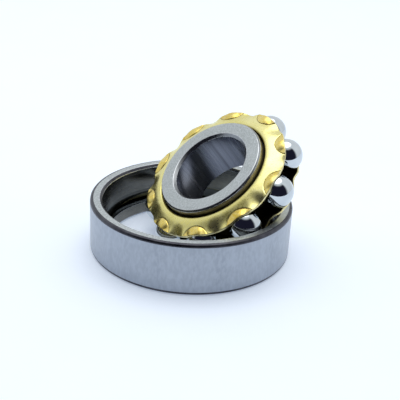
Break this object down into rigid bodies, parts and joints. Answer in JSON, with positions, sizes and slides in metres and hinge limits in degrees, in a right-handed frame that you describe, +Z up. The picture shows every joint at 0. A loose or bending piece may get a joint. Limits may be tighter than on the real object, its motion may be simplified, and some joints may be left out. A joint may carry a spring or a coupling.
{
  "type": "separable ball bearing",
  "caption": "Separable ball bearing laid open: the outer ring lies flat and the inner ring, with its brass cage and steel balls, leans inside it.",
  "frame": {"origin": "middle of the whole object's box in X and Y, on the surface that the outer ring lies on", "axes": "+Z up, along the outer ring's axis; +X towards the raised side of the inner assembly, whose axis leans 38.6 degrees from +Z towards -X"},
  "size_m": [0.0454, 0.044, 0.0275],
  "materials": {
    "outer_ring_steel": "ground bearing steel",
    "inner_ring_steel": "ground faces, honed bore and land",
    "cage_brass": "pressed sheet",
    "ball_steel": "lapped mirror finish"
  },
  "bodies": {
    "outer_ring": {"outer_ring": "outer_ring_steel"},
    "cage": {"cage": "cage_brass"},
    "inner_ring": {"inner_ring": "inner_ring_steel"},
    "ball_01": {"ball_01": "ball_steel"},
    "ball_02": {"ball_02": "ball_steel"},
    "ball_03": {"ball_03": "ball_steel"},
    "ball_04": {"ball_04": "ball_steel"},
    "ball_05": {"ball_05": "ball_steel"},
    "ball_06": {"ball_06": "ball_steel"},
    "ball_07": {"ball_07": "ball_steel"},
    "ball_08": {"ball_08": "ball_steel"},
    "ball_09": {"ball_09": "ball_steel"},
    "ball_10": {"ball_10": "ball_steel"}
  },
  "joints": [
    {"name": "lift_off", "type": "slide", "parent": "outer_ring", "child": "cage", "axis": [0, 0, 1], "range_m": [0, 0.02]},
    {"name": "inner_ring_spin", "type": "hinge", "parent": "cage", "child": "inner_ring", "pos_m": [0.00686, 0, 0.01382], "axis": [-0.6239, 0, 0.7815], "continuous": true},
    {"name": "ball_01_spin", "type": "hinge", "parent": "cage", "child": "ball_01", "pos_m": [0.01917, 0, 0.02365], "axis": [-0.6239, 0, 0.7815], "continuous": true},
    {"name": "ball_02_spin", "type": "hinge", "parent": "cage", "child": "ball_02", "pos_m": [0.01682, 0.00926, 0.02177], "axis": [-0.6239, 0, 0.7815], "continuous": true},
    {"name": "ball_03_spin", "type": "hinge", "parent": "cage", "child": "ball_03", "pos_m": [0.01066, 0.01498, 0.01686], "axis": [-0.6239, 0, 0.7815], "continuous": true},
    {"name": "ball_04_spin", "type": "hinge", "parent": "cage", "child": "ball_04", "pos_m": [0.00306, 0.01498, 0.01078], "axis": [-0.6239, 0, 0.7815], "continuous": true},
    {"name": "ball_05_spin", "type": "hinge", "parent": "cage", "child": "ball_05", "pos_m": [-0.0031, 0.00926, 0.00587], "axis": [-0.6239, 0, 0.7815], "continuous": true},
    {"name": "ball_06_spin", "type": "hinge", "parent": "cage", "child": "ball_06", "pos_m": [-0.00545, 0, 0.00399], "axis": [-0.6239, 0, 0.7815], "continuous": true},
    {"name": "ball_07_spin", "type": "hinge", "parent": "cage", "child": "ball_07", "pos_m": [-0.0031, -0.00926, 0.00587], "axis": [-0.6239, 0, 0.7815], "continuous": true},
    {"name": "ball_08_spin", "type": "hinge", "parent": "cage", "child": "ball_08", "pos_m": [0.00306, -0.01498, 0.01078], "axis": [-0.6239, 0, 0.7815], "continuous": true},
    {"name": "ball_09_spin", "type": "hinge", "parent": "cage", "child": "ball_09", "pos_m": [0.01066, -0.01498, 0.01686], "axis": [-0.6239, 0, 0.7815], "continuous": true},
    {"name": "ball_10_spin", "type": "hinge", "parent": "cage", "child": "ball_10", "pos_m": [0.01682, -0.00926, 0.02177], "axis": [-0.6239, 0, 0.7815], "continuous": true}
  ],
  "couplings": [
    {"joint": "ball_01_spin", "follows": "inner_ring_spin", "ratio": -3.3035},
    {"joint": "ball_02_spin", "follows": "inner_ring_spin", "ratio": -3.3035},
    {"joint": "ball_03_spin", "follows": "inner_ring_spin", "ratio": -3.3035},
    {"joint": "ball_04_spin", "follows": "inner_ring_spin", "ratio": -3.3035},
    {"joint": "ball_05_spin", "follows": "inner_ring_spin", "ratio": -3.3035},
    {"joint": "ball_06_spin", "follows": "inner_ring_spin", "ratio": -3.3035},
    {"joint": "ball_07_spin", "follows": "inner_ring_spin", "ratio": -3.3035},
    {"joint": "ball_08_spin", "follows": "inner_ring_spin", "ratio": -3.3035},
    {"joint": "ball_09_spin", "follows": "inner_ring_spin", "ratio": -3.3035},
    {"joint": "ball_10_spin", "follows": "inner_ring_spin", "ratio": -3.3035}
  ]
}
